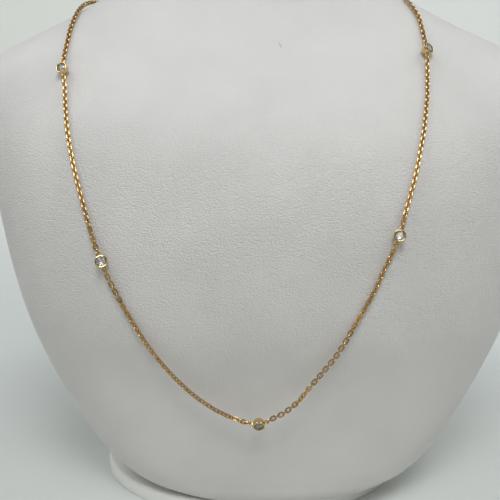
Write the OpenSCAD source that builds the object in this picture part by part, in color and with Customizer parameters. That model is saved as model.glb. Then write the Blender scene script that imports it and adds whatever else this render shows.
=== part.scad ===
// A fine gold cable chain with five round diamonds in bezel settings, lying on a white neck bust
// that stands on a thin oval base plate. Millimetres. The front is -Y, up is +Z, and Z = 0 is the
// surface under the plate. X = 0 is the chest's middle plane.

/* [Bust] */
// Widest part of the shoulders
bust_w = 179; // [165:1:195]
// Height of the neck's top above the surface
bust_h = 200; // [190:1:215]
// How far the neck sits to the side of the chest's middle
neck_lean = -3; // [-4:0.5:0]
// Squareness of the chest's sections (2 is an ellipse)
front_square = 2.6; // [2.3:0.1:2.9]
// Squareness of the back's sections
back_square = 2.8; // [2.4:0.1:3]
// Clear height between the base plate and the bust
foot_gap = 0.2; // [0.1:0.05:0.4]

/* [Base plate] */
// Width of the oval plate
plate_w = 94; // [88:1:110]
// Depth of the oval plate
plate_d = 77; // [74:1:90]
// Thickness of the plate
plate_t = 4; // [3:0.5:5]
// Rounding of the plate's upper edge
plate_r = 1.2; // [0.5:0.1:1.4]

/* [Chain] */
// Outer length of a link
link_l = 2.04; // [2:0.01:2.1]
// Outer width of a link
link_w = 1.42; // [1.38:0.01:1.46]
// Thickness of the wire
wire = 0.36; // [0.3:0.01:0.37]
// Greatest distance from link to link
link_pitch = 1.15; // [1.14:0.01:1.16]
// Diameter of the chain's outer form where it is drawn as a solid cord
strand_d = 1.3; // [1.1:0.05:1.4]
// Height of the chain's middle line over the bust
ride = 0.75; // [0.74:0.01:0.95]

/* [Settings and diamonds] */
// Outer diameter of a bezel
bezel_d = 3.35; // [3.2:0.05:3.6]
// Diameter of a bezel's foot
bezel_foot = 1.6; // [1.3:0.1:1.9]
// Height of a bezel
bezel_h = 2.3; // [2.2:0.05:2.4]
// Girdle diameter of a diamond
stone_d = 2.7; // [2.5:0.02:2.74]
// Diameter of a diamond's table
table_d = 1.5; // [1.3:0.05:1.7]

/* [Clasp] */
// Outer diameter of the ring clasp
clasp_d = 5.5; // [5:0.1:6]
// Thickness of the ring clasp
clasp_wire = 1.1; // [0.9:0.05:1.2]

/* [Hidden] */
// Bust sections: [height, half width, front, widest line, back]
ROWS = [
    [4, 36.5, -38.3, -6, 26],
    [6, 42.5, -39.8, -5, 29],
    [10, 49.5, -40.6, -3, 32],
    [16, 55.5, -41.2, -0.5, 34.5],
    [25, 61.5, -42, 1.5, 37],
    [38, 68.8, -43.5, 3, 40.5],
    [54, 75, -47, 4, 43.5],
    [70, 79.5, -46, 5, 46],
    [86, 83, -43, 6.5, 48.5],
    [100, 86.5, -37.5, 8, 50],
    [110, 89, -31.5, 9, 51],
    [118, 89.5, -25.5, 9.5, 51],
    [124, 88, -21, 10, 51.5],
    [129, 84, -17.5, 11, 51],
    [134, 75.2, -14, 12, 51],
    [140, 62.7, -10.5, 13.5, 50.5],
    [146, 52.5, -7.5, 16, 50],
    [152, 43.5, -5.5, 18, 49.5],
    [160, 35, -4, 20.5, 49],
    [176, 29.5, -4.5, 22, 48.5],
    [194, 28.5, -5, 22, 48],
    [198.5, 27.3, -3.7, 22, 46.8],
    [200, 24.8, -1.2, 22, 44.3]
];
// Heights of the bust's drawn sections
RING_Z = [
    4, 5, 6.5, 9, 12.5, 17, 24, 33, 43, 54, 64, 74, 84, 92, 100, 107, 113, 118, 121.5, 124.5, 127.5,
    130.5, 133.5, 137, 140.5, 144, 147.5, 151, 155, 160, 168, 182, 194, 197, 199, 200
];
SIDES = 44;

// The chain's way round the bust from the nape: [height, turn, lift, roll]. Turn 90 is the front, 180
// the left of the picture and 270 the nape. Lift is added to the chain's ride, and roll is the turn of
// a link's wide way about the chain, from straight out of the bust.
ROUTE = [
    [151.8, 270, 0.3, 70],
    [154, 238, 0.3, 70],
    [151.1, 208.4, 0.2, 70],
    [147.6, 184.2, 0.3, 70],
    [143.8, 161.6, 0.4, 90],
    [137.4, 141, 0.1, 78],
    [130.6, 129.5, 0.2, 72],
    [123.8, 125.8, 0.9, 68],
    [117.8, 124.4, 0.1, 67],
    [109, 123.6, 0, 66],
    [100, 123, 0, 68],
    [91, 121.9, 0, 70],
    [82.5, 120.6, 0.1, 66],
    [74.5, 118.6, 0.9, 26],
    [67, 116.7, 0.1, 33],
    [60, 114, 0.2, 68],
    [53, 110.8, 0.9, 74],
    [47, 107.2, 2, 78],
    [40.5, 102.6, 3.2, 78],
    [35.7, 98, 4, 74],
    [32.7, 92.2, 4.4, 40],
    [37.3, 89, 4, 30],
    [44, 86.4, 2.8, 118],
    [52, 82.7, 1, 116],
    [60, 79.9, 0.2, 135],
    [67, 77.5, 0, 154],
    [74, 75.6, 0.1, 160],
    [81, 73.8, 0.9, 186],
    [88, 72.5, 0.1, 154],
    [97, 70.9, 0, 153],
    [106, 69.7, 0, 152],
    [115, 68.4, 0, 152],
    [123.7, 66.5, 0.1, 155],
    [129.8, 63.3, 0.9, 162],
    [135.5, 56.3, 0.2, 164],
    [141.3, 44.9, 0.2, 160],
    [149.8, 25, 0.2, 160],
    [154.1, -0.8, 0.2, 160],
    [153, -29.9, 0.3, 160],
    [150.5, -60, 0.3, 160]
];
// Stations: [route row, turn of the face about the chain, tilt of the face along the chain]
STATIONS = [
    [7, -11, 3],
    [13, 31, -7],
    [20, -19, -3],
    [27, 20, 11],
    [33, -26, -2]
];

SUB = 12;
N = len(ROWS);
RATE = [for (i = [0 : N - 2]) (ROWS[i + 1] - ROWS[i]) / (ROWS[i + 1][0] - ROWS[i][0])];
STEP = [for (i = [0 : N - 2]) ROWS[i + 1][0] - ROWS[i][0]];
SLOPE = [for (i = [0 : N - 1])
    i == 0 ? RATE[0]
    : i == N - 1 ? RATE[N - 2]
    : (RATE[i - 1] * STEP[i] + RATE[i] * STEP[i - 1]) / (STEP[i - 1] + STEP[i])];

function unit(v) = v / norm(v);
function row_of(z) = let (below = [for (i = [0 : N - 2]) if (z >= ROWS[i][0]) i])
    len(below) == 0 ? 0 : below[len(below) - 1];
function blend(a, b, ma, mb, h, t) = a * (2 * t * t * t - 3 * t * t + 1)
    + b * (3 * t * t - 2 * t * t * t)
    + ma * (h * (t * t * t - 2 * t * t + t))
    + mb * (h * (t * t * t - t * t));
function section(z) = let (i = row_of(z), t = (z - ROWS[i][0]) / STEP[i])
    blend(ROWS[i], ROWS[i + 1], SLOPE[i], SLOPE[i + 1], STEP[i], t);
// The sections grow rounder up the neck
function square_at(z, q) = z < 140 ? q : max(2.15, q - (z - 140) * 0.03);
// The neck goes to its side between two heights
LEAN_LOW = 118;
LEAN_HIGH = 148;
function lean(z) = let (t = min(1, max(0, (z - LEAN_LOW) / (LEAN_HIGH - LEAN_LOW))))
    neck_lean * t * t * (3 - 2 * t);
function on_section(r, z, turn) = let (
    c = cos(turn),
    s = sin(turn),
    e = 2 / square_at(z, s >= 0 ? front_square : back_square)
)
    [
        r[1] * sign(c) * pow(abs(c), e) * bust_w / 179 + lean(z),
        r[3] + (s >= 0 ? (r[2] - r[3]) * pow(s, e) : (r[4] - r[3]) * pow(-s, e)),
        z <= 160 ? z : 160 + (z - 160) * (bust_h - 160) / 40
    ];
function on_bust(z, turn) = on_section(section(z), z, turn);
function out_of_bust(z, turn) = unit(cross(
    on_bust(z + 0.05, turn) - on_bust(z - 0.05, turn),
    on_bust(z, turn + 0.05) - on_bust(z, turn - 0.05)
));

// The route as close points with the bust's outward direction and the roll, and the length run along it
K = len(ROUTE);
function knot(i) = ROUTE[(i + K) % K] - [0, 360 * floor(i / K), 0, 0];
function between(i, t) = let (a = knot(i - 1), b = knot(i), c = knot(i + 1), d = knot(i + 2))
    0.5 * (2 * b + (c - a) * t + (2 * a - 5 * b + 4 * c - d) * t * t + (3 * b - a - 3 * c + d) * t * t * t);
function lifted(k) = let (n = out_of_bust(k[0], k[1])) [on_bust(k[0], k[1]) + n * (ride + k[2]), n, k[3]];
WAY = [for (i = [0 : K - 1], j = [0 : SUB - 1]) lifted(between(i, j / SUB))];
W = len(WAY);
RUN = [for (i = 0, s = 0; i <= W; s = s + norm(WAY[(i + 1) % W][0] - WAY[i % W][0]), i = i + 1) s];
LOOP = RUN[W];
INDEX = [for (i = [0 : W]) [RUN[i], i]];
function spot(s) = let (m = s - LOOP * floor(s / LOOP), i = lookup(m, INDEX), a = floor(i), f = i - a)
    WAY[a % W] * (1 - f) + WAY[(a + 1) % W] * f;
function roll_at(s) = spot(s)[2];
// [place, direction of the chain, out of the bust, across]
function stand(s) = let (
    p = spot(s),
    t = unit(spot(s + 0.4)[0] - spot(s - 0.4)[0]),
    o = unit(p[1] - t * (p[1] * t))
)
    [p[0], t, o, cross(o, t)];

// End rings: the radius of their middle line, and how far from a station or the clasp they sit
RING_R = 0.53;
RING_AT = 2.2;
CLASP_RING_AT = clasp_d / 2 + RING_R + 0.1;
// Clear distance between a ring and its link, and between a ring and the chain's outer form
LINK_GAP = 0.14;
STRAND_GAP = 0.15;
FIRST_LINK = RING_AT + RING_R + link_l / 2 - 1.5 * wire - LINK_GAP;
RING_END = RING_R + wire / 2 + STRAND_GAP;
AT = [for (st = STATIONS) RUN[st[0] * SUB]];
CLASP_AT = (AT[2] + LOOP / 2) % LOOP;

// A closed skin over rings of points, capped at both ends
module skin(rings) {
    n = len(rings[0]);
    m = len(rings);
    walls = [for (k = [0 : m - 2], i = [0 : n - 1], half = [0, 1])
        half == 0
        ? [k * n + i, (k + 1) * n + i, k * n + (i + 1) % n]
        : [k * n + (i + 1) % n, (k + 1) * n + i, (k + 1) * n + (i + 1) % n]];
    low = [for (i = [1 : n - 2]) [0, i, i + 1]];
    high = [for (i = [1 : n - 2]) [(m - 1) * n, (m - 1) * n + i + 1, (m - 1) * n + i]];
    polyhedron([for (r = rings, p = r) p], concat(walls, low, high), 10);
}

module bust_form() color([0.87, 0.86, 0.83]) {
    skin([for (z = RING_Z) let (r = section(z)) [for (i = [0 : SIDES - 1])
        on_section(r, z, -360 * i / SIDES) + [0, 0, z < 160 ? foot_gap * (1 - (z - 4) / 156) : 0]]]);
}

// Plate sections: [height, inset]. The plate's middle lies a little aside of the bust's.
PLATE_AT = [-5, -0.5];
PLATE_SIDES = 48;
PLATE = [
    [0, 0.3],
    [0.3, 0],
    [plate_t - plate_r, 0],
    [plate_t - plate_r * 0.3, plate_r * 0.3],
    [plate_t, plate_r]
];
module base_plate() color([0.9, 0.9, 0.88])
    skin([for (p = PLATE) [for (i = [0 : PLATE_SIDES - 1]) let (a = 360 * i / PLATE_SIDES) [
        PLATE_AT[0] + (plate_w / 2 - p[1]) * cos(a),
        PLATE_AT[1] + (plate_d / 2 - p[1]) * sin(a),
        p[0]
    ]]]);

// One link round the place p: long way u, wide way v
module link(p, u, v) {
    straight = (link_l - link_w) / 2;
    bend = (link_w - wire) / 2;
    w = cross(u, v);
    rings = [for (i = [0 : 9]) let (
        a = -90 + (i % 5) * 45 + (i >= 5 ? 180 : 0),
        end = i >= 5 ? -1 : 1,
        out = u * cos(a) + v * sin(a),
        c = p + u * (end * straight) + out * bend
    ) [for (j = [0 : 4]) c + (out * cos(72 * j) - w * sin(72 * j)) * wire / 2]];
    faces = [for (k = [0 : 9], j = [0 : 4], half = [0, 1])
        half == 0
        ? [k * 5 + j, ((k + 1) % 10) * 5 + j, k * 5 + (j + 1) % 5]
        : [k * 5 + (j + 1) % 5, ((k + 1) % 10) * 5 + j, ((k + 1) % 10) * 5 + (j + 1) % 5]];
    polyhedron([for (r = rings, q = r) q], faces, 10);
}

// Links from one station to the next, each turned a quarter from the one before. Their count is odd,
// so that the first and the last lie the same way.
module links(a, b) {
    from = AT[a] + FIRST_LINK;
    span = AT[b] - FIRST_LINK - from;
    steps = 2 * ceil(span / link_pitch / 2);
    for (i = [0 : steps]) let (
        s = from + span * i / steps,
        f = stand(s),
        roll = roll_at(s) + 90 * (i % 2)
    ) link(f[0], f[1], f[2] * cos(roll) + f[3] * sin(roll));
}

module chain_front() color([0.87, 0.68, 0.36]) {
    links(1, 2);
    links(2, 3);
}

// The chain's outer form from one length to another
STRAND_STEP = 4.1;
module strand(from, to) {
    steps = ceil((to - from) / STRAND_STEP);
    skin([for (i = [0 : steps]) let (f = stand(from + (to - from) * i / steps))
        [for (j = [0 : 7]) f[0] + (f[2] * cos(45 * j + 22.5) - f[3] * sin(45 * j + 22.5)) * strand_d / 2]]);
}

module chain_back() color([0.87, 0.68, 0.36]) {
    at_clasp = CLASP_RING_AT + RING_END;
    at_station = RING_AT + RING_END;
    strand(CLASP_AT - LOOP * (CLASP_AT > AT[0] ? 1 : 0) + at_clasp, AT[0] - at_station);
    strand(AT[0] + at_station, AT[1] - at_station);
    strand(AT[3] + at_station, AT[4] - at_station);
    strand(AT[4] + at_station, CLASP_AT + LOOP * (CLASP_AT < AT[4] ? 1 : 0) - at_clasp);
}

// Puts a piece at a length of the route with its z axis out of the bust, turned about the chain
module stand_at(s, turn) {
    f = stand(s);
    z = f[2] * cos(turn) + f[3] * sin(turn);
    y = cross(z, f[1]);
    multmatrix([
        [f[1][0], y[0], z[0], f[0][0]],
        [f[1][1], y[1], z[1], f[0][1]],
        [f[1][2], y[2], z[2], f[0][2]],
        [0, 0, 0, 1]
    ]) children();
}

// A ring that links the chain to a station or the clasp, with a short post towards the piece. It
// stands square to the link that hangs in it.
module end_ring(s, side) stand_at(s, roll_at(s)) {
    rotate_extrude($fn = 48) translate([RING_R, 0]) circle(r = wire / 2, $fn = 32);
    translate([-side * RING_R, 0, 0])
        rotate([0, -90 * side, 0])
        cylinder(r = wire * 0.55, h = 0.22, $fn = 32);
}

// Heights over the chain's middle line: the stone's girdle, the bezel's rim and its widest point
GIRDLE = 0.5;
RIM = 1.05;
WIDEST = 0.45;
// Bowl-shaped bezel with a rounded rim over the stone's edge and a seat under it
module cup() {
    r = bezel_d / 2;
    s = stone_d / 2;
    f = bezel_foot / 2;
    foot = RIM - bezel_h;
    lip = s - 0.06;
    round = (r - lip) / 2;
    rotate_extrude($fn = 72) polygon(concat(
        [[0, foot]],
        [for (a = [0 : 11.25 : 90]) [f + (r - f) * sin(a), WIDEST - (WIDEST - foot) * cos(a)]],
        [for (a = [0 : 22.5 : 180]) [lip + round * (1 + cos(a)), RIM - round + round * sin(a)]],
        [
            [lip, GIRDLE + 0.22],
            [s + 0.07, GIRDLE + 0.17],
            [s + 0.07, GIRDLE - 0.1],
            [0.3, -0.72],
            [0, -0.72]
        ]
    ));
}

// Bezel with its two soldered rings
module setting(k) color([0.87, 0.68, 0.36]) {
    stand_at(AT[k], STATIONS[k][1]) rotate([0, STATIONS[k][2], 0]) cup();
    for (side = [-1, 1]) end_ring(AT[k] + side * RING_AT, side);
}

// Round brilliant: table, stars, kites, upper and lower girdle facets and pavilion
module diamond(k) color([0.9, 0.95, 1]) stand_at(AT[k], STATIONS[k][1]) rotate([0, STATIONS[k][2], 0]) {
    s = stone_d / 2;
    points = concat(
        [for (i = [0 : 7]) [table_d / 2 * cos(45 * i), table_d / 2 * sin(45 * i), GIRDLE + 0.52]],
        [for (i = [0 : 7]) [s * 0.8 * cos(45 * i + 22.5), s * 0.8 * sin(45 * i + 22.5), GIRDLE + 0.33]],
        [for (i = [0 : 15]) [s * cos(22.5 * i), s * sin(22.5 * i), GIRDLE + 0.1]],
        [for (i = [0 : 15]) [s * cos(22.5 * i), s * sin(22.5 * i), GIRDLE]],
        [for (i = [0 : 7]) [s * 0.28 * cos(45 * i + 22.5), s * 0.28 * sin(45 * i + 22.5), GIRDLE - 0.74]],
        [[0, 0, GIRDLE - 1]]
    );
    faces = concat(
        [for (i = [1 : 6]) [0, i + 1, i]],
        [for (i = [0 : 7]) [i, (i + 1) % 8, 8 + i]],
        [for (i = [0 : 7]) [i, 8 + i, 16 + 2 * i]],
        [for (i = [0 : 7]) [i, 16 + 2 * i, 8 + (i + 7) % 8]],
        [for (i = [0 : 7]) [8 + i, 16 + 2 * i + 1, 16 + 2 * i]],
        [for (i = [0 : 7]) [8 + i, 16 + (2 * i + 2) % 16, 16 + 2 * i + 1]],
        [for (i = [0 : 15]) [16 + i, 16 + (i + 1) % 16, 32 + i]],
        [for (i = [0 : 15]) [32 + i, 16 + (i + 1) % 16, 32 + (i + 1) % 16]],
        [for (i = [0 : 7]) [32 + 2 * i, 32 + 2 * i + 1, 48 + i]],
        [for (i = [0 : 7]) [32 + 2 * i + 1, 32 + (2 * i + 2) % 16, 48 + i]],
        [for (i = [0 : 7]) [32 + 2 * i, 48 + i, 56]],
        [for (i = [0 : 7]) [32 + 2 * i, 56, 48 + (i + 7) % 8]]
    );
    polyhedron(points, faces, 4);
}

// Ring clasp with a soldered ring at each end, as one piece
module clasp() color([0.87, 0.68, 0.36]) {
    r = (clasp_d - clasp_wire) / 2;
    stand_at(CLASP_AT, 0) rotate_extrude($fn = 48) translate([r, 0]) circle(r = clasp_wire / 2, $fn = 24);
    for (side = [-1, 1]) end_ring(CLASP_AT + side * CLASP_RING_AT, side);
}

bust_form();
base_plate();
chain_front();
chain_back();
setting(0);  // setting_1
setting(1);  // setting_2
setting(2);  // setting_3
setting(3);  // setting_4
setting(4);  // setting_5
diamond(0);  // diamond_1
diamond(1);  // diamond_2
diamond(2);  // diamond_3
diamond(3);  // diamond_4
diamond(4);  // diamond_5
clasp();
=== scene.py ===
import math

import bpy
import numpy as np
from mathutils import Matrix, Vector


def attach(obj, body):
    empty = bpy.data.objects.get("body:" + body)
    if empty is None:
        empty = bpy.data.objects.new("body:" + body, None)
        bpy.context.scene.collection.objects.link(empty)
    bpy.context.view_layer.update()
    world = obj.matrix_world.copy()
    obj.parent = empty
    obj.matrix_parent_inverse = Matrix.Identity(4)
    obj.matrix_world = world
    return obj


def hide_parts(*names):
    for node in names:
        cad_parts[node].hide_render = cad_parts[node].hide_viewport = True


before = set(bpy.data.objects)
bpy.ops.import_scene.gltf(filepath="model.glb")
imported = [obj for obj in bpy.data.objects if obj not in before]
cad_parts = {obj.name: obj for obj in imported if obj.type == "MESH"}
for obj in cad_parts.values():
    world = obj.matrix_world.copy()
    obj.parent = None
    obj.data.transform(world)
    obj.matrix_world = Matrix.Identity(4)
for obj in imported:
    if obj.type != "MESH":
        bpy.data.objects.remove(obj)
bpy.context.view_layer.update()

MM = 0.001

# Bust sections in millimetres: height, half width, front, widest line, back
ROWS = np.array([
    [4, 36.5, -38.3, -6, 26],
    [6, 42.5, -39.8, -5, 29],
    [10, 49.5, -40.6, -3, 32],
    [16, 55.5, -41.2, -0.5, 34.5],
    [25, 61.5, -42, 1.5, 37],
    [38, 68.8, -43.5, 3, 40.5],
    [54, 75, -47, 4, 43.5],
    [70, 79.5, -46, 5, 46],
    [86, 83, -43, 6.5, 48.5],
    [100, 86.5, -37.5, 8, 50],
    [110, 89, -31.5, 9, 51],
    [118, 89.5, -25.5, 9.5, 51],
    [124, 88, -21, 10, 51.5],
    [129, 84, -17.5, 11, 51],
    [134, 75.2, -14, 12, 51],
    [140, 62.7, -10.5, 13.5, 50.5],
    [146, 52.5, -7.5, 16, 50],
    [152, 43.5, -5.5, 18, 49.5],
    [160, 35, -4, 20.5, 49],
    [176, 29.5, -4.5, 22, 48.5],
    [194, 28.5, -5, 22, 48],
    [198.5, 27.3, -3.7, 22, 46.8],
    [200, 24.8, -1.2, 22, 44.3],
])
FOOT_Z = 4
NECK_Z = 160
TOP_Z = 200
# Clear height over the base plate at the foot, which runs out at the neck
FOOT_GAP = 0.2
# Squareness of the sections in front and behind (2 is an ellipse), and how they grow rounder up the neck
FRONT_SQUARE = 2.6
BACK_SQUARE = 2.8
ROUNDER_FROM = 140
ROUNDER_BY = 0.03
ROUNDEST = 2.15
# Bands of drawn rings: lowest, highest and count, closer together near both ends
BANDS = [(FOOT_Z, 12, 16), (12, NECK_Z, 124), (NECK_Z, 196, 18)]
TOP_BAND = (196, TOP_Z, 8)
BUST_SIDES = 300

# The neck sits to the side of the chest's middle: how far, and the heights between which it goes there
NECK_LEAN = -3
LEAN_LOW = 118
LEAN_HIGH = 148

# The chain's way round the bust from the nape, in millimetres and degrees: height, turn, lift and
# the links' roll about the chain
ROUTE = np.array([
    [151.8, 270, 0.3, 70],
    [154, 238, 0.3, 70],
    [151.1, 208.4, 0.2, 70],
    [147.6, 184.2, 0.3, 70],
    [143.8, 161.6, 0.4, 90],
    [137.4, 141, 0.1, 78],
    [130.6, 129.5, 0.2, 72],
    [123.8, 125.8, 0.9, 68],
    [117.8, 124.4, 0.1, 67],
    [109, 123.6, 0, 66],
    [100, 123, 0, 68],
    [91, 121.9, 0, 70],
    [82.5, 120.6, 0.1, 66],
    [74.5, 118.6, 0.9, 26],
    [67, 116.7, 0.1, 33],
    [60, 114, 0.2, 68],
    [53, 110.8, 0.9, 74],
    [47, 107.2, 2, 78],
    [40.5, 102.6, 3.2, 78],
    [35.7, 98, 4, 74],
    [32.7, 92.2, 4.4, 40],
    [37.3, 89, 4, 30],
    [44, 86.4, 2.8, 118],
    [52, 82.7, 1, 116],
    [60, 79.9, 0.2, 135],
    [67, 77.5, 0, 154],
    [74, 75.6, 0.1, 160],
    [81, 73.8, 0.9, 186],
    [88, 72.5, 0.1, 154],
    [97, 70.9, 0, 153],
    [106, 69.7, 0, 152],
    [115, 68.4, 0, 152],
    [123.7, 66.5, 0.1, 155],
    [129.8, 63.3, 0.9, 162],
    [135.5, 56.3, 0.2, 164],
    [141.3, 44.9, 0.2, 160],
    [149.8, 25, 0.2, 160],
    [154.1, -0.8, 0.2, 160],
    [153, -29.9, 0.3, 160],
    [150.5, -60, 0.3, 160],
])
STATION_ROWS = [7, 13, 20, 27, 33]
# Points between two rows, and the small steps that directions are taken over
SUB = 12
NUDGE = 0.05
NEAR = 0.4

# Chain, in millimetres
LINK_L = 2.06
LINK_W = 1.46
WIRE = 0.41
PITCH = 1.15
RIDE = 0.75
RING_R = 0.53
RING_AT = 2.2
CLASP_RING_AT = 3.38
LINK_GAP = 0.14
# From the middle of an end ring to the first link
HANG = RING_R + LINK_L / 2 - 1.5 * WIRE - LINK_GAP
LINK_SIDES = 20
WIRE_SIDES = 8

# Base plate, in millimetres
PLATE_W = 94
PLATE_D = 77
PLATE_T = 4
PLATE_R = 1.2
PLATE_X = -5
PLATE_Y = -0.5
PLATE_SIDES = 180
PLATE_ARC = 8

# Camera: turn, height and roll in degrees, place in millimetres, lens for a 36 mm sensor
CAM_TURN = -2.5
CAM_HEIGHT = 10.2
CAM_ROLL = 0.17
CAM_PLACE = (-15.71, -226.7, 110.88)
CAM_LENS = 52.0
SENSOR = 36

# Leather grain: cells to a metre, depth in metres, and strength at heights in millimetres
GRAIN_SCALE = (1750, 1750, 2650)
GRAIN_DEPTH = 0.00028
GRAIN_FADE = [(36, 0.1), (48, 0.35), (60, 0.75), (75, 0.85), (98, 0.8), (113, 0.35), (128, 0.2)]
# The small dark mark painted high on the chest: place and reach in metres, turn in degrees, colour
DARK_MARK_PLACE = (0.0019, -0.0154, 0.1318)
DARK_MARK_REACH = (0.0003, 0.004, 0.0016)
DARK_MARK_TURN = -22
DARK_MARK_TONE = (0.42, 0.42, 0.41, 1)

# Floor in metres: radius of the flat part, of the bend and height of the wall
FLOOR_FLAT = 1.5
FLOOR_BEND = 0.8
FLOOR_WALL = 0.8
FLOOR_ARC = 16
FLOOR_SIDES = 96

# What the lights are aimed at, and their shared sizes and colours
CHEST = (0, -0.03, 0.07)
FOOT_LEFT = (-0.06, -0.01, 0.01)
FOOT_RIGHT = (0.06, -0.01, 0.01)
SHOULDER_LEFT = (-0.07, 0, 0.11)
SHOULDER_RIGHT = (0.07, 0, 0.11)
WALL_LEFT = (-0.4, 2.2, 0.6)
WALL_RIGHT = (1.2, 1.8, 0.2)
SQUARE = (0.4, 0.4)
WARM = (1, 0.85, 0.72)
COOL = (0.82, 0.93, 1)
SKY = (0.88, 0.95, 1)
# Lights: name, place, aim, size in metres, power in watts, colour
LIGHTS = [
    ("key", (0, -0.42, 0.82), CHEST, (0.32, 0.32), 1.85, SKY),
    ("front", (0, -0.58, 0.7), CHEST, (0.34, 0.34), 1.65, (1, 0.96, 0.94)),
    ("left", (-0.75, -0.35, 0.5), CHEST, SQUARE, 0.45, WARM),
    ("right", (0.75, -0.35, 0.5), CHEST, SQUARE, 0.42, WARM),
    ("top_left", (-0.6, -0.1, 0.95), SHOULDER_LEFT, SQUARE, 2.15, (0.95, 1, 1)),
    ("top_right", (0.6, -0.1, 0.95), SHOULDER_RIGHT, SQUARE, 1.9, (0.95, 1, 0.97)),
    ("back_left", (-0.8, 0.25, 0.7), FOOT_LEFT, SQUARE, 0.75, COOL),
    ("back_right", (0.8, 0.25, 0.7), FOOT_RIGHT, SQUARE, 0.85, COOL),
    ("low", (0, -0.7, 0.12), CHEST, (0.4, 0.2), 0.03, (1, 0.65, 0.25)),
    ("backdrop", (-0.3, 0.6, 1.2), WALL_LEFT, (2, 0.5), 18, (1, 0.98, 0.94)),
    ("backdrop_right", (0.6, 0.4, 1.1), WALL_RIGHT, (0.8, 0.8), 10, SKY),
]
AMBIENT = (0.95, 0.98, 1, 1)
AMBIENT_STRENGTH = 0.06


# Surface of the bust

STEP = np.diff(ROWS[:, 0])
RATE = np.diff(ROWS, axis=0) / STEP[:, None]
INNER = (RATE[:-1] * STEP[1:, None] + RATE[1:] * STEP[:-1, None]) / (STEP[:-1] + STEP[1:])[:, None]
SLOPE = np.vstack([RATE[0], INNER, RATE[-1]])


def section(z):
    """The bust's section at height z, blended smoothly between the rows."""
    z = np.asarray(z, float)
    i = np.clip(np.searchsorted(ROWS[:, 0], z, side="right") - 1, 0, len(ROWS) - 2)
    t = ((z - ROWS[i, 0]) / STEP[i])[..., None]
    h = STEP[i][..., None]
    low = ROWS[i] * (2 * t**3 - 3 * t**2 + 1) + SLOPE[i] * h * (t**3 - 2 * t**2 + t)
    high = ROWS[i + 1] * (3 * t**2 - 2 * t**3) + SLOPE[i + 1] * h * (t**3 - t**2)
    return low + high


def lean(z):
    """How far the bust's middle goes to the side at height z."""
    t = ((z - LEAN_LOW) / (LEAN_HIGH - LEAN_LOW)).clip(0, 1)
    return NECK_LEAN * t**2 * (3 - 2 * t)


def on_bust(z, turn):
    """Point of the bust at a height and a turn in degrees: 90 is the front, 270 the nape."""
    z, turn = np.broadcast_arrays(np.asarray(z, float), np.asarray(turn, float))
    row = section(z)
    c = np.cos(np.radians(turn))
    s = np.sin(np.radians(turn))
    square = np.where(s >= 0, FRONT_SQUARE, BACK_SQUARE)
    rounder = np.maximum(ROUNDEST, square - (z - ROUNDER_FROM) * ROUNDER_BY)
    square = np.where(z < ROUNDER_FROM, square, rounder)
    x = row[..., 1] * np.sign(c) * np.abs(c) ** (2 / square) + lean(z)
    reach = np.where(s >= 0, row[..., 2] - row[..., 3], row[..., 4] - row[..., 3])
    y = row[..., 3] + reach * np.abs(s) ** (2 / square)
    return np.stack([x, y, z], -1)


def out_of_bust(z, turn):
    """Direction out of the bust, from points a nudge away on either side."""
    up = on_bust(z + NUDGE, turn) - on_bust(z - NUDGE, turn)
    about = on_bust(z, turn + NUDGE) - on_bust(z, turn - NUDGE)
    n = np.cross(up, about)
    return n / np.linalg.norm(n, axis=-1, keepdims=True)


# The chain's route


def knot(i):
    """Row i of the route, with the turn running on past a whole round."""
    count = len(ROUTE)
    return ROUTE[i % count] - np.array([0, 360 * (i // count), 0, 0])


def route_knots():
    """The route's rows with smooth rows between them."""
    rows = []
    for i in range(len(ROUTE)):
        a, b, c, d = (knot(i + k) for k in (-1, 0, 1, 2))
        for t in np.arange(SUB) / SUB:
            square = (2 * a - 5 * b + 4 * c - d) * t**2
            cube = (3 * b - a - 3 * c + d) * t**3
            rows.append(0.5 * (2 * b + (c - a) * t + square + cube))
    return np.array(rows)


KNOTS = route_knots()
OUT = out_of_bust(KNOTS[:, 0], KNOTS[:, 1])
WAY = on_bust(KNOTS[:, 0], KNOTS[:, 1]) + OUT * (RIDE + KNOTS[:, 2:3])
RUN = np.append(0, np.cumsum(np.linalg.norm(np.roll(WAY, -1, axis=0) - WAY, axis=1)))
LOOP = RUN[-1]
STATION_AT = [RUN[row * SUB] for row in STATION_ROWS]
CLASP_AT = (STATION_AT[2] + LOOP / 2) % LOOP


def spot(s):
    """Place on the route, direction out of the bust and the links' roll at a length along it."""
    index = np.interp(s % LOOP, RUN, np.arange(len(RUN)))
    a = int(index) % len(WAY)
    b = (a + 1) % len(WAY)
    f = index - int(index)
    return [both[a] * (1 - f) + both[b] * f for both in (WAY, OUT, KNOTS[:, 3])]


def stand(s):
    """Place, direction of the chain, direction out of the bust, direction across and roll."""
    place, out, roll = spot(s)
    along = spot(s + NEAR)[0] - spot(s - NEAR)[0]
    along /= np.linalg.norm(along)
    out = out - along * (out @ along)
    out /= np.linalg.norm(out)
    return place, along, out, np.cross(out, along), roll


# Meshes


def mesh_piece(name, points, faces, slot, *nodes):
    """A smooth mesh piece from points in millimetres, riding on the frame in place of nodes."""
    mesh = bpy.data.meshes.new(name)
    mesh.from_pydata((np.asarray(points) * MM).tolist(), [], faces)
    mesh.update()
    mesh.shade_smooth()
    piece = bpy.data.objects.new(name, mesh)
    bpy.context.collection.objects.link(piece)
    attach(piece, "root")
    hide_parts(*nodes)
    return piece


def skin_faces(rings, sides, start=0, cap=True, close=False):
    """Quads over rings of equal size; the ends are capped, or the last ring meets the first."""
    faces = []
    for k in range(rings if close else rings - 1):
        a = start + k * sides
        b = start + ((k + 1) % rings) * sides
        for i in range(sides):
            j = (i + 1) % sides
            faces.append((a + i, a + j, b + j, b + i))
    if cap:
        faces.append(tuple(start + i for i in reversed(range(sides))))
        faces.append(tuple(start + (rings - 1) * sides + i for i in range(sides)))
    return faces


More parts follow.
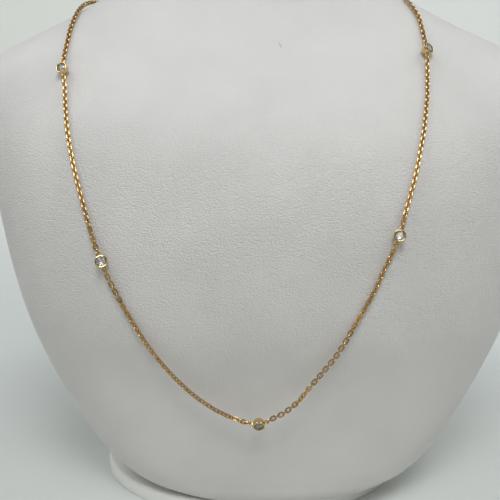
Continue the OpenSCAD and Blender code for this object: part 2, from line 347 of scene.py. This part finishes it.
def even_turns(count):
    """Turns that lie at even distances round a section of the chest."""
    chest_z = 90.0
    turns = np.linspace(0, 360, 7201)
    points = on_bust(chest_z, turns)
    length = np.append(0, np.cumsum(np.linalg.norm(np.diff(points, axis=0), axis=1)))
    return np.interp(np.arange(count) / count * length[-1], length, turns)


def bust():
    """The bust's smooth skin, a little above the base plate."""
    bands = [np.linspace(*band, endpoint=False) for band in BANDS]
    heights = np.concatenate(bands + [np.linspace(*TOP_BAND)])
    rings = on_bust(heights[:, None], even_turns(BUST_SIDES)[None, :])
    rings[..., 2] += (FOOT_GAP * (1 - (heights - FOOT_Z) / (NECK_Z - FOOT_Z))).clip(0)[:, None]
    # A turn that grows runs clockwise from above, so the faces are flipped to look outwards
    faces = [face[::-1] for face in skin_faces(len(heights), BUST_SIDES)]
    return mesh_piece("bust", rings.reshape(-1, 3), faces, "leatherette", "bust_form")


def base():
    """The oval plate, with a broken lower edge and a rounded upper one."""
    profile = [(0, 0.3), (0.1, 0.1), (0.3, 0)]
    for k in range(PLATE_ARC + 1):
        a = math.radians(90 * k / PLATE_ARC)
        profile.append((PLATE_T - PLATE_R * (1 - math.sin(a)), PLATE_R * (1 - math.cos(a))))
    points = []
    for z, inset in profile:
        for i in range(PLATE_SIDES):
            a = 2 * math.pi * i / PLATE_SIDES
            x = (PLATE_W / 2 - inset) * math.cos(a) + PLATE_X
            y = (PLATE_D / 2 - inset) * math.sin(a) + PLATE_Y
            points.append((x, y, z))
    return mesh_piece("base", points, skin_faces(len(profile), PLATE_SIDES), "base_white", "base_plate")


def link_points(place, u, v):
    """Rings of points along one link: long way u, wide way v."""
    w = np.cross(u, v)
    straight = (LINK_L - LINK_W) / 2
    bend = (LINK_W - WIRE) / 2
    half = LINK_SIDES // 2
    points = []
    for i in range(LINK_SIDES):
        end = 1 if i < half else -1
        a = math.radians(-90 + 180 * (i % half) / (half - 1) + (0 if end == 1 else 180))
        out = u * math.cos(a) + v * math.sin(a)
        centre = place + u * (end * straight) + out * bend
        for j in range(WIRE_SIDES):
            b = -2 * math.pi * (j + 0.5) / WIRE_SIDES
            points.append(centre + (out * math.cos(b) + w * math.sin(b)) * WIRE / 2)
    return points


def span_links(first, last):
    """Places and ways of the links from one length to another, each a quarter round from the last."""
    steps = 2 * math.ceil((last - first) / PITCH / 2)
    for i in range(steps + 1):
        place, along, out, across, roll = stand(first + (last - first) * i / steps)
        turn = math.radians(roll + 90 * (i % 2))
        yield place, along, out * math.cos(turn) + across * math.sin(turn)


def chain():
    """Every link between the stations and the clasp."""
    ends = [CLASP_AT - LOOP * (CLASP_AT > STATION_AT[0])] + STATION_AT
    ends.append(CLASP_AT + LOOP * (CLASP_AT < STATION_AT[-1]))
    points = []
    faces = []
    for k in range(len(ends) - 1):
        first = ends[k] + HANG + (CLASP_RING_AT if k == 0 else RING_AT)
        last = ends[k + 1] - HANG - (CLASP_RING_AT if k == len(ends) - 2 else RING_AT)
        for place, along, wide in span_links(first, last):
            faces += skin_faces(LINK_SIDES, WIRE_SIDES, len(points), cap=False, close=True)
            points += link_points(place, along, wide)
    piece = mesh_piece("chain", points, faces, "gold", "chain_front", "chain_back")
    for edge in piece.data.edges:
        a, b = edge.vertices
        edge.use_edge_sharp = a % WIRE_SIDES == b % WIRE_SIDES
    return piece


# Materials


def material(name):
    """A new node material, with its nodes, links and shader."""
    made = bpy.data.materials.new(name)
    made.use_nodes = True
    nodes = made.node_tree.nodes
    return made, nodes, made.node_tree.links, nodes["Principled BSDF"]


def cloudy(nodes, links, place, scale, low, high, ends=(0, 1), detail=2):
    """Colour that drifts between two tones with a noise."""
    cloud = nodes.new("ShaderNodeTexNoise")
    cloud.inputs["Scale"].default_value = scale
    cloud.inputs["Detail"].default_value = detail
    links.new(place.outputs["Object"], cloud.inputs["Vector"])
    tone = nodes.new("ShaderNodeValToRGB")
    for element, position, colour in zip(tone.color_ramp.elements, ends, (low, high)):
        element.position = position
        element.color = (*colour, 1)
    links.new(cloud.outputs["Fac"], tone.inputs["Fac"])
    return tone.outputs["Color"]


def dark_mark(nodes, links, place):
    """Factor of the small dark mark high on the chest, falling off to its edge."""
    reach = nodes.new("ShaderNodeMapping")
    reach.vector_type = "TEXTURE"
    reach.inputs["Location"].default_value = DARK_MARK_PLACE
    reach.inputs["Rotation"].default_value = (0, math.radians(DARK_MARK_TURN), 0)
    reach.inputs["Scale"].default_value = DARK_MARK_REACH
    links.new(place.outputs["Object"], reach.inputs["Vector"])
    off = nodes.new("ShaderNodeVectorMath")
    off.operation = "LENGTH"
    links.new(reach.outputs["Vector"], off.inputs[0])
    fall = nodes.new("ShaderNodeMath")
    fall.operation = "SUBTRACT"
    fall.use_clamp = True
    fall.inputs[0].default_value = 1
    links.new(off.outputs["Value"], fall.inputs[1])
    return fall.outputs[0]


def grain_fade(nodes, links, place):
    """Strength of the grain, which fades out up and down the chest."""
    split = nodes.new("ShaderNodeSeparateXYZ")
    links.new(place.outputs["Object"], split.inputs[0])
    level = nodes.new("ShaderNodeMath")
    level.operation = "MULTIPLY"
    level.inputs[1].default_value = 1 / (TOP_Z * MM)
    links.new(split.outputs["Z"], level.inputs[0])
    fade = nodes.new("ShaderNodeValToRGB")
    links.new(level.outputs[0], fade.inputs["Fac"])
    ramp = fade.color_ramp
    while len(ramp.elements) < len(GRAIN_FADE):
        ramp.elements.new(0.5)
    for element, (height, strength) in zip(ramp.elements, GRAIN_FADE):
        element.position = height / TOP_Z
        element.color = (strength, strength, strength, 1)
    return fade.outputs["Color"]


def grain_bump(nodes, links, place):
    """Pebbled leather grain as a fine bump."""
    grain = nodes.new("ShaderNodeMapping")
    grain.inputs["Scale"].default_value = GRAIN_SCALE
    links.new(place.outputs["Object"], grain.inputs["Vector"])
    pebble = nodes.new("ShaderNodeTexVoronoi")
    pebble.inputs["Scale"].default_value = 1
    links.new(grain.outputs["Vector"], pebble.inputs["Vector"])
    bump = nodes.new("ShaderNodeBump")
    bump.invert = True
    bump.inputs["Distance"].default_value = GRAIN_DEPTH
    links.new(grain_fade(nodes, links, place), bump.inputs["Strength"])
    links.new(pebble.outputs["Distance"], bump.inputs["Height"])
    return bump.outputs["Normal"]


def leatherette():
    """White leatherette with a fine grain, a drifting tone and one small dark mark."""
    made, nodes, links, shader = material("leatherette")
    shader.inputs["Roughness"].default_value = 0.5
    shader.inputs["Specular IOR Level"].default_value = 0.35
    place = nodes.new("ShaderNodeTexCoord")
    links.new(grain_bump(nodes, links, place), shader.inputs["Normal"])
    low = (0.67, 0.652, 0.642)
    high = (0.73, 0.712, 0.7)
    tone = cloudy(nodes, links, place, 45, low, high, ends=(0.3, 0.7), detail=3)
    marked = nodes.new("ShaderNodeMix")
    marked.data_type = "RGBA"
    marked.inputs["B"].default_value = DARK_MARK_TONE
    links.new(dark_mark(nodes, links, place), marked.inputs["Factor"])
    links.new(tone, marked.inputs["A"])
    links.new(marked.outputs["Result"], shader.inputs["Base Color"])
    return made


def base_white():
    """White plastic of the base plate."""
    made, nodes, links, shader = material("base_white")
    place = nodes.new("ShaderNodeTexCoord")
    tone = cloudy(nodes, links, place, 60, (0.9, 0.91, 0.88), (0.95, 0.96, 0.93))
    links.new(tone, shader.inputs["Base Color"])
    shader.inputs["Roughness"].default_value = 0.4
    return made


def gold(name, low, high, roughness):
    """Gold that drifts a little between two tones."""
    made, nodes, links, shader = material(name)
    shader.inputs["Metallic"].default_value = 1
    place = nodes.new("ShaderNodeTexCoord")
    links.new(cloudy(nodes, links, place, 900, low, high), shader.inputs["Base Color"])
    shader.inputs["Roughness"].default_value = roughness
    return made


def diamond():
    """Clear stone, a little hazy as the photo's stones are."""
    made, nodes, links, shader = material("diamond")
    shader.inputs["Base Color"].default_value = (0.72, 0.71, 0.7, 1)
    shader.inputs["Transmission Weight"].default_value = 0.8
    shader.inputs["IOR"].default_value = 1.9
    shader.inputs["Specular IOR Level"].default_value = 0.2
    shader.inputs["Roughness"].default_value = 0.14
    return made


def paint(obj, made):
    """Gives a piece its one material."""
    obj.data.materials.clear()
    obj.data.materials.append(made)


def paint_node(name, made):
    """Gives a CAD node its finish in the material slots it has."""
    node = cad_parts[name]
    for slot in node.material_slots:
        slot.material = made


# Stage


def floor_paint():
    """Plain and pale, with a tone that hardly varies."""
    made, nodes, links, shader = material("floor")
    place = nodes.new("ShaderNodeTexCoord")
    tone = cloudy(nodes, links, place, 3, (0.68, 0.7, 0.68), (0.7, 0.72, 0.7))
    links.new(tone, shader.inputs["Base Color"])
    shader.inputs["Roughness"].default_value = 0.8
    return made


def floor_profile():
    """Radius and height of the floor's rings, from the edge of the flat part to the wall's top."""
    profile = []
    for k in range(FLOOR_ARC + 1):
        a = math.radians(90 * k / FLOOR_ARC)
        profile.append((FLOOR_FLAT + FLOOR_BEND * math.sin(a), FLOOR_BEND * (1 - math.cos(a))))
    profile.append((FLOOR_FLAT + FLOOR_BEND, FLOOR_BEND + FLOOR_WALL))
    return profile


def floor():
    """A pale floor that rises all round into a soft wall."""
    profile = floor_profile()
    points = [(0, 0, 0)]
    faces = []
    for radius, z in profile:
        for i in range(FLOOR_SIDES):
            a = 2 * math.pi * i / FLOOR_SIDES
            points.append((radius * math.cos(a), radius * math.sin(a), z))
    for i in range(FLOOR_SIDES):
        faces.append((0, 1 + i, 1 + (i + 1) % FLOOR_SIDES))
    # Rings that grow outwards face down, so these faces are flipped like the middle's
    faces += [face[::-1] for face in skin_faces(len(profile), FLOOR_SIDES, 1, cap=False)]
    mesh = bpy.data.meshes.new("floor")
    mesh.from_pydata(points, [], faces)
    mesh.shade_smooth()
    obj = bpy.data.objects.new("floor", mesh)
    bpy.context.collection.objects.link(obj)
    paint(obj, floor_paint())


def area_light(name, place, target, size, power, colour):
    """A soft rectangular light at a place, aimed at a target."""
    data = bpy.data.lights.new(name, "AREA")
    data.shape = "RECTANGLE"
    data.size, data.size_y = size
    data.energy = power
    data.color = colour
    obj = bpy.data.objects.new(name, data)
    bpy.context.collection.objects.link(obj)
    obj.location = place
    aim = Vector(target) - Vector(place)
    obj.rotation_euler = aim.to_track_quat("-Z", "Y").to_euler()


def lights():
    """Soft studio light and a faint even sky."""
    for row in LIGHTS:
        area_light(*row)
    world = bpy.data.worlds.new("world")
    bpy.context.scene.world = world
    world.use_nodes = True
    sky = world.node_tree.nodes["Background"]
    sky.inputs["Color"].default_value = AMBIENT
    sky.inputs["Strength"].default_value = AMBIENT_STRENGTH


def camera():
    """The photograph's view."""
    turn = math.radians(CAM_TURN)
    height = math.radians(CAM_HEIGHT)
    roll = math.radians(CAM_ROLL)
    flat = math.cos(height)
    back = Vector((math.sin(turn) * flat, -math.cos(turn) * flat, math.sin(height)))
    level = Vector((math.cos(turn), math.sin(turn), 0))
    plumb = level.cross(-back)
    right = level * math.cos(roll) + plumb * math.sin(roll)
    up = plumb * math.cos(roll) - level * math.sin(roll)
    data = bpy.data.cameras.new("camera")
    data.lens = CAM_LENS
    data.sensor_width = SENSOR
    data.clip_start = 0.01
    obj = bpy.data.objects.new("camera", data)
    bpy.context.collection.objects.link(obj)
    turned = Matrix((right, up, back)).transposed().to_4x4()
    obj.matrix_world = Matrix.Translation(Vector(CAM_PLACE) * MM) @ turned
    bpy.context.scene.camera = obj


bpy.context.scene.view_settings.view_transform = "Standard"
camera()
lights()
floor()
chain_gold = gold("chain_gold", (0.52, 0.34, 0.14), (0.72, 0.48, 0.22), 0.2)
setting_gold = gold("setting_gold", (0.66, 0.47, 0.22), (0.8, 0.61, 0.31), 0.1)
stone = diamond()
paint(bust(), leatherette())
paint(base(), base_white())
paint(chain(), chain_gold)
for number in range(1, len(STATION_ROWS) + 1):
    paint_node(f"setting_{number}", setting_gold)
    paint_node(f"diamond_{number}", stone)
paint_node("clasp", setting_gold)
